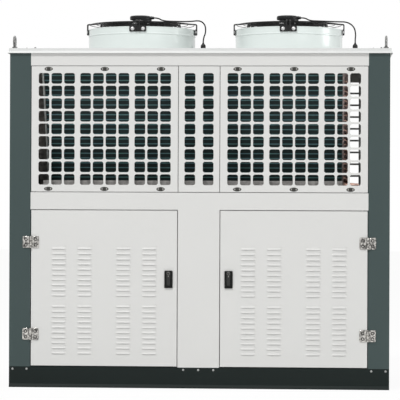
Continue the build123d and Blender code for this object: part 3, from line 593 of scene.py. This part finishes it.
def front_door(side):
    """Louvred door: a folded sheet with open slots under pressed hoods."""
    node = f"{side}_door"
    low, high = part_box(node)
    y_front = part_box("front_left_grille")[0].y
    middle = (low.x + high.x) / 2
    outline = rounded_box(low.x, low.z, high.x, high.z, 0.0015, 2)
    loops, form = [outline], bmesh.new()
    for column in louvre_columns:
        for group in louvre_groups:
            for row in range(louvre_count):
                x, z = middle + column, group + row * louvre_pitch
                half = louvre_length / 2 - 0.001
                loops.append(rounded_box(x - half, z, x + half, z + louvre_hood * 0.7, 0.002, 2))
                louvre(form, x, z, y_front)
    sheet_metal(form, loops, y_front, sheet, 0.0002)
    inner = rounded_box(low.x + sheet, low.z + sheet, high.x - sheet, high.z - sheet, 0.0008, 2)
    sheet_metal(form, [outline, inner], y_front + sheet, high.y - y_front - sheet)
    add_piece(f"{side}_door_sheet", form, "panel_paint", f"{side}_door", node)


for side in fan_x:
    front_door(side)


# ---------------------------------------------------------------- hinges
def hinge_leaf(form, x0, x1, y_back, y_front, z, screws_x):
    """Adds a polished leaf with round edges and two countersunk screws, each in a ring of painted recess
    shade.
    """
    half = hinge_height / 2 - 0.0006
    sheet_metal(form, [rounded_box(min(x0, x1), z - half, max(x0, x1), z + half, 0.006, 5)], y_front,
                y_back - y_front, 0.0014)
    for shift in (-hinge_screw_shift, hinge_screw_shift):
        place = facing_front(screws_x, y_front, z + shift)
        lathe(form, [(0.0, 0.0004), (0.0020, 0.0004), (0.0023, 0.0012), (0.0050, 0.0010), (0.0056, 0.0002)],
              place, 24)
        # Painted shade: a black ring round the screw head for the shade of its recess
        lathe(form, [(0.0056, 0.0003), (0.0084, 0.0004), (0.0088, 0.0001)], place, 24, finish=1)


def hinges(side):
    """Chrome hinges of one door: a leaf on the door, a leaf on the post and the knuckle between them."""
    sign = -1 if side == "left" else 1
    low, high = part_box(f"{side}_hinge_door_leaves")
    pins_low, pins_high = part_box("hinge_pins")
    axis_x = (pins_high.x - 0.003) * sign
    axis_y = (pins_low.y + pins_high.y) / 2
    y_face = high.y
    outer = (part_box("hinge_post_leaves")[1].x) * sign
    door_form, post_form = bmesh.new(), bmesh.new()
    inner_x = low.x if sign > 0 else high.x
    for z in (low.z + hinge_height / 2, high.z - hinge_height / 2):
        root = axis_x - sign * 0.0078
        hinge_leaf(door_form, root, inner_x, y_face, y_face - hinge_plate, z, (root + inner_x) / 2)
        root = axis_x + sign * 0.0078
        hinge_leaf(post_form, root, outer, y_face, y_face - hinge_plate, z, (root + outer) / 2)
        half = hinge_height / 2
        for form, start, away in ((door_form, 0.0003, -sign), (post_form, -half, sign)):
            knuckle = at(axis_x, axis_y, z + start)
            height = half - 0.0003
            lathe(form, [(0.0, 0.0), (0.0055, 0.0), (0.0065, 0.001), (0.0065, height - 0.001),
                         (0.0055, height), (0.0, height)], knuckle, 28)
            reach = sorted((axis_x + away * 0.004, axis_x + away * 0.012))
            block(form, (reach[0], axis_y, z + start + 0.001),
                  (reach[1], y_face - 0.0015, z + start + height - 0.001), 0.0008)
    add_piece(f"{side}_hinge_leaves_on_door", door_form, "hinge_chrome", f"{side}_door",
              f"{side}_hinge_door_leaves", details=("screw_recess_shade",))
    return post_form


post_forms = [hinges(side) for side in fan_x]
joined = bmesh.new()
for form in post_forms:
    part = bpy.data.meshes.new("part")
    form.to_mesh(part)
    form.free()
    joined.from_mesh(part)
    bpy.data.meshes.remove(part)
add_piece("hinge_leaves_on_posts", joined, "hinge_chrome", "cabinet", "hinge_post_leaves",
          details=("screw_recess_shade",))


# ---------------------------------------------------------------- locks
def lock(side):
    """Quarter-turn lock: a black housing with a folding lever that has the key barrel at its top."""
    low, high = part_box(f"{side}_lock_housing")
    form = bmesh.new()
    sheet_metal(form, [rounded_box(low.x, low.z, high.x, high.z, 0.004, 4)], low.y, high.y - low.y, 0.0016)
    add_piece(f"{side}_lock_body", form, "lock_black", f"{side}_door", f"{side}_lock_housing")

    low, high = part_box(f"{side}_lock_lever")
    x = (low.x + high.x) / 2
    half = (high.x - low.x) / 2
    y_back = low.y + 0.008
    barrel_z = high.z - half
    form = bmesh.new()
    outline = [(x + half * cos(pi * i / 12), barrel_z + half * sin(pi * i / 12)) for i in range(13)]
    outline += [(x - half * 0.82, low.z + 0.003), (x - half * 0.6, low.z), (x + half * 0.6, low.z),
                (x + half * 0.82, low.z + 0.003)]
    sheet_metal(form, [outline], low.y + 0.0015, y_back - low.y - 0.0015, 0.0018)
    ring = facing_front(x, low.y + 0.0015, barrel_z - 0.001)
    lathe(form, [(0.0, 0.0006), (0.0052, 0.0006), (0.0058, 0.0010)], ring, 32, finish=1)
    lathe(form, [(0.0058, 0.0006), (0.0062, 0.0014), (0.0070, 0.0014), (0.0076, 0.0)], ring, 32, finish=2)
    lathe(form, [(0.0, 0.0014), (0.0016, 0.0012), (0.0020, 0.0006)], ring @ at(0, 0.003, 0), 20, finish=2)
    button = facing_front(x, low.y + 0.0015, barrel_z - 0.0155)
    lathe(form, [(0.0, 0.0014), (0.0018, 0.0011), (0.0028, 0.0)], button, 20, finish=2)
    spindle = facing_front(x, high.y, barrel_z)
    lathe(form, [(0.0, 0.0), (0.006, 0.0), (0.006, high.y - y_back), (0.0, high.y - y_back)], spindle, 24)
    add_piece(f"{side}_lock_handle", form, "lock_black", f"{side}_lever", f"{side}_lock_lever",
              finish="lever_black", details=("lock_black", "lobe_grey"))


for side in fan_x:
    lock(side)


# ---------------------------------------------------------------- fans
def ring_and_motor(side):
    """Spun fan ring with a bead below its rolled lip."""
    low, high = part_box(f"{side}_fan_ring")
    radius, height = (high.x - low.x) / 2, high.z - low.z
    form = bmesh.new()
    profile = [
        (radius + 0.000, 0.0), (radius, 0.004), (radius - 0.0012, 0.007), (radius - 0.0012, height * 0.68),
        (radius + 0.0008, height * 0.70), (radius + 0.0008, height * 0.73), (radius - 0.0012, height * 0.75),
        (radius - 0.0012, height * 0.955), (radius, height * 0.965), (radius, height * 0.99),
        (radius - 0.0008, height), (radius - ring_wall + 0.0008, height), (radius - ring_wall, height * 0.99),
        (radius - ring_wall, 0.006), (radius - ring_wall - 0.003, 0.0),
    ]
    lathe(form, profile, at(fan_x[side], 0, low.z), 160, closed=True)
    add_piece(f"{side}_ring_shell", form, "ring_paint", "cabinet", f"{side}_fan_ring")


def guard_wires(side):
    """Wire guard: close rings and spokes in the middle, wide rings outside, and four arms of paired bars."""
    low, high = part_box(f"{side}_fan_guard")
    x = fan_x[side]
    top = high.z
    leg_out = high.x - x
    form = bmesh.new()

    def arm_height(radius):
        """Height of the arm bars' middle line at a distance from the fan's axis."""
        inner = min(radius, arm_knee) - level_end
        outer = max(0.0, radius - arm_knee)
        return (top - bar / 2 - inner * knee_drop / (arm_knee - level_end)
                - outer * end_drop / (leg_out - arm_knee))

    def under_arms(radius):
        """Height of a wire ring that is welded to the arm bars from below."""
        return arm_height(radius) - bar / 2 - wire / 2 + wire_bite

    for quarter in range(4):
        turn = at(x, 0, 0) @ Matrix.Rotation(pi / 2 * quarter, 4, "Z")
        for shift in (-bar_spacing / 2, bar_spacing / 2):
            leg = leg_out - bar / 2
            path = [(arm_root, shift, arm_height(arm_root)), (0.120, shift, arm_height(0.120)),
                    (arm_knee, shift, arm_height(arm_knee)), (leg - 0.010, shift, arm_height(leg - 0.010)),
                    (leg, shift, arm_height(leg)), (leg, shift, arm_height(leg) - 0.010),
                    (leg, shift, low.z + 0.002)]
            rod(form, [turn @ Vector(point) for point in path], bar / 2)
        plate = turn @ at(foot_radius, 0, low.z) @ Matrix.Rotation(pi / 2, 4, "Z")
        plate_form = bmesh.new()
        sheet_metal(plate_form, [rounded_box(-0.043, 0, 0.043, 0.030, 0.005, 4)], 0, foot_plate, 0.0006)
        bmesh.ops.transform(plate_form, matrix=plate @ Matrix.Scale(-1, 4, (0, 1, 0)), verts=plate_form.verts)
        part = bpy.data.meshes.new("part")
        plate_form.to_mesh(part)
        plate_form.free()
        form.from_mesh(part)
        bpy.data.meshes.remove(part)
    for number in range(basket_rings):
        radius = basket_inner + (basket_outer - basket_inner) * number / (basket_rings - 1)
        wire_ring(form, (x + basket_shift, 0, under_arms(radius)), radius, wire)
    for number in range(basket_spokes):
        angle = 2 * pi * (number + 0.5) / basket_spokes
        turn = at(x + basket_shift, 0, 0) @ Matrix.Rotation(angle, 4, "Z")
        under = bar / 2 + wire * 1.4
        path = [(0.056, 0, arm_height(0.056) - under), (0.200, 0, arm_height(0.200) - under),
                (0.2075, 0, arm_height(0.2) - under), (0.2075, 0, arm_height(0.2) - under - 0.008),
                (0.2075, 0, arm_height(0.2) - under - 0.020)]
        rod(form, [turn @ Vector(point) for point in path], wire / 2)
    for drop in range(1, 4):
        z = under_arms(0.2) - wire_bite - drop * 0.0062
        wire_ring(form, (x + basket_shift, 0, z), basket_outer, wire)
    for radius in outer_rings:
        wire_ring(form, (x, 0, under_arms(radius)), radius, wire)
    add_piece(f"{side}_guard_wires", form, "guard_black", "cabinet", f"{side}_fan_guard")


def motor(form, side):
    """Adds one fan motor: its neck, flange and terminal cap with cooling ribs, and the cable outlet."""
    x = fan_x[side]
    guard_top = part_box(f"{side}_fan_guard")[1].z
    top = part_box("fan_motors")[1].z
    rotor_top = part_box(f"{side}_fan_impeller")[1].z
    neck_low = rotor_top + 0.001 - guard_top
    lathe(form, [(0.0, neck_low), (0.028, neck_low), (0.028, 0.0003), (0.050, 0.0003), (0.050, 0.0063),
                 (0.0, 0.0063)], at(x, 0, guard_top), 64)
    cap_low = guard_top + 0.0063
    tall = top - cap_low
    cap = at(x + motor_cap_shift, 0, cap_low)
    lathe(form, [(0.0, 0.0), (0.052, 0.0), (0.054, 0.002), (0.054, tall - 0.007), (0.0535, tall - 0.0045),
                 (0.050, tall - 0.0015), (0.044, tall - 0.0004), (0.0, tall)], cap, 72)
    for number in range(5):
        z = cap_low + 0.003 + number * 0.0024
        lathe(form, [(0.0536, z), (0.0546, z + 0.0006), (0.0536, z + 0.0012)],
              at(x + motor_cap_shift, 0, 0), 72)
    nut = at(x + 0.0436, 0, cap_low + 0.0105) @ Matrix.Rotation(pi / 2, 4, "Y")
    lathe(form, [(0.0, 0.0), (0.009, 0.0), (0.009, 0.008), (0.0072, 0.0095), (0.0072, 0.0165),
                 (0.0042, 0.0192), (0.0, 0.0194)], nut, 12)


motors = bmesh.new()
for side in fan_x:
    ring_and_motor(side)
    guard_wires(side)
    motor(motors, side)
add_piece("motor_bodies", motors, "motor_black", "cabinet", "fan_motors")


def guard_screws():
    """Round-headed bolts with a washer, two on each foot of the guards."""
    form = bmesh.new()
    for side in fan_x:
        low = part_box(f"{side}_fan_guard")[0]
        for quarter in range(4):
            turn = at(fan_x[side], 0, 0) @ Matrix.Rotation(pi / 2 * quarter, 4, "Z")
            for shift in (-0.02666, 0.02666):
                place = turn @ at(foot_radius + foot_plate, shift, low.z + 0.015)
                lathe(form, [(0.0, 0.0040), (0.0035, 0.0038), (0.0060, 0.0028), (0.0072, 0.0014),
                             (0.0074, 0.0010), (0.0092, 0.0009), (0.0094, 0.0)],
                      place @ Matrix.Rotation(pi / 2, 4, "Y"), 28)
    add_piece("guard_screws", form, "bright_steel", "cabinet", "guard_bolts")


def glands():
    """Cable glands on the roof: a dome nut over a hexagon, tapering to the cable."""
    form = bmesh.new()
    low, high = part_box("cable_glands")
    tall = high.z - low.z
    for side in fan_x:
        place = at(fan_x[side] + cable_routes[side][-1][0], 0, low.z)
        lathe(form, [(0.0, 0.0), (0.0140, 0.0), (0.0145, 0.001), (0.0145, 0.028), (0.0138, 0.029),
                     (0.0, 0.029)], place, 6)
        lathe(form, [(0.0, 0.029), (0.0126, 0.029), (0.0131, 0.034), (0.0130, 0.041), (0.0116, 0.046),
                     (0.0080, 0.050), (0.0058, 0.052), (0.0050, tall), (0.0, tall)], place, 36)
    add_piece("roof_glands", form, "cable_black", "cabinet", "cable_glands")


def eyes():
    """Forged lifting eyes, each a ring on a shank and collar."""
    form = bmesh.new()
    low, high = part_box("lifting_eyes")
    for x in (low.x + 0.013, high.x - 0.013):
        for y in (low.y + 0.031, high.y - 0.031):
            centre = at(x, y, high.z - 0.031) @ Matrix.Rotation(pi / 2, 4, "Y")
            section = [(0.02425 + 0.0067 * cos(pi / 5 * i), 0.006 * sin(pi / 5 * i)) for i in range(10)]
            lathe(form, section, centre, 40, closed=True)
            lathe(form, [(0.0, 0.0), (0.0128, 0.0), (0.013, 0.001), (0.013, 0.0065), (0.0118, 0.008),
                         (0.0085, 0.0095), (0.007, 0.013), (0.007, 0.015)], at(x, y, low.z), 32)
    add_piece("lifting_rings", form, "bright_steel", "cabinet", "lifting_eyes", finish="eye_steel")


def clamps():
    """Oval panel clamps with a raised hub and screw, above and below each side panel."""
    form = bmesh.new()
    for side in ("left", "right"):
        low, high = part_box(f"front_{side}_grille")
        rear_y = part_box("rear_grilles")[1].y
        middle = (low.x + high.x) / 2
        for shift in (-0.282, 0.0, 0.282):
            for z in (low.z + 0.014, high.z - 0.014):
                for face, y in ((1, low.y), (-1, rear_y)):
                    place = facing_front(middle + shift, y, z)
                    if face < 0:
                        place = place @ Matrix.Rotation(pi, 4, "X")
                    oval = place @ Matrix.Scale(2.15, 4, (1, 0, 0)) @ Matrix.Scale(1.08, 4, (0, 1, 0))
                    lathe(form, [(0.0, 0.0014), (0.0070, 0.0012), (0.0090, 0.0008), (0.0098, 0.0)], oval, 36)
                    for shift_x in (-0.0118, 0.0118):
                        lobe = place @ at(shift_x, 0, 0.0006) @ Matrix.Scale(0.62, 4, (1, 0, 0))
                        lathe(form, [(0.0, 0.0016), (0.0034, 0.0013), (0.0052, 0.0006)], lobe, 24, finish=1)
                    lathe(form, [(0.0, 0.0022), (0.0016, 0.0022), (0.0020, 0.0029), (0.0052, 0.0027),
                                 (0.0062, 0.0016), (0.0066, 0.0)], place, 28)
    add_piece("panel_clamps", form, "clamp_grey", "cabinet", "panel_fasteners", details=("lobe_grey",))


def frame_heads():
    """Round-headed screws along the base and on the roof, each with its washer."""
    form = bmesh.new()
    heads = [(0.0, 0.0034), (0.0018, 0.0032), (0.0036, 0.0020), (0.0041, 0.0009), (0.0054, 0.0008),
             (0.0056, 0.0)]
    for x in (-0.932, -0.861, -0.075, 0.0, 0.075, 0.861, 0.932):
        lathe(form, heads, facing_front(x, body_front, 0.092), 20)
        lathe(form, heads, facing_front(x, -body_front, 0.092) @ Matrix.Rotation(pi, 4, "X"), 20)
    for x in (-0.866, 0.866):
        for y in (-0.419, 0.419):
            lathe(form, heads, at(x, y, roof_z), 20)
    add_piece("frame_heads", form, "bright_steel", "cabinet", "frame_screws", finish="head_zinc")


def coil_flanges():
    """Folded edges of the coil end plates: one on the coil's outer face, one turned outwards behind it. At
    the left end the face strip has a lighter copy of the finish as painted light, and the outward flange a
    darker copy as painted shade.
    """
    form = bmesh.new()
    for node, sign in (("front_coil", -1), ("rear_coil", 1)):
        low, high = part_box(node)
        outer_high = abs(low.y) if sign < 0 else high.y
        outer_low = outer_high - coil_lean
        # Left face strip painted lighter and left outward flange painted darker: painted light and shade on
        # one galvanised plate
        for x0, x1, near, far, finish in (
            (low.x - 0.009, low.x - 0.002, 0.0066, 0.0080, 0),
            (high.x + 0.002, high.x + 0.009, 0.0066, 0.0080, 1),
            (low.x - 0.060, low.x - 0.002, -0.060, -0.058, 2),
            (high.x + 0.002, high.x + 0.038, -0.060, -0.058, 1),
        ):
            foot, head = 1.012, high.z
            corners = []
            for lift in (near, far):
                for x, y, z in ((x0, outer_low, foot), (x1, outer_low, foot), (x1, outer_high, head),
                                (x0, outer_high, head)):
                    corners.append(form.verts.new((x, sign * (y + lift), z)))
            for face in ((0, 1, 2, 3), (7, 6, 5, 4), (0, 4, 5, 1), (1, 5, 6, 2), (2, 6, 7, 3), (3, 7, 4, 0)):
                form.faces.new([corners[i] for i in face]).material_index = finish
    bmesh.ops.recalc_face_normals(form, faces=form.faces)
    add_piece("coil_flanges", form, "galvanised", "cabinet", finish="flange_painted_light",
              details=("flange_brown", "flange_painted_shade"))


def return_tubes():
    """Copper return bends at the right end of both coils."""
    form = bmesh.new()
    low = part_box("coil_return_bends")[0]
    coil_low, coil_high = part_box("rear_coil")
    lean = Vector((0, coil_lean, coil_high.z - coil_low.z)).normalized()
    base_z = coil_low.z
    for sign in (-1, 1):
        slope = Vector((0, sign * lean.y, lean.z))
        start = Vector((low.x, sign * (coil_low.y + (coil_high.y - coil_lean - coil_low.y) / 2), base_z))
        for number in range(11):
            middle = start + slope * (0.054 * (number + 0.7))
            legs = []
            for step in range(13):
                angle = pi * step / 12
                legs.append(middle + slope * (bend_radius * cos(angle))
                            + Vector((0.012 + bend_radius * sin(angle), 0, 0)))
            path = [middle + slope * bend_radius, *legs, middle - slope * bend_radius]
            rod(form, path, 0.0047, bends=False)
    add_piece("copper_return_bends", form, "coil_copper", "cabinet", "coil_return_bends")


guard_screws()
glands()
eyes()
clamps()
frame_heads()
coil_flanges()
return_tubes()
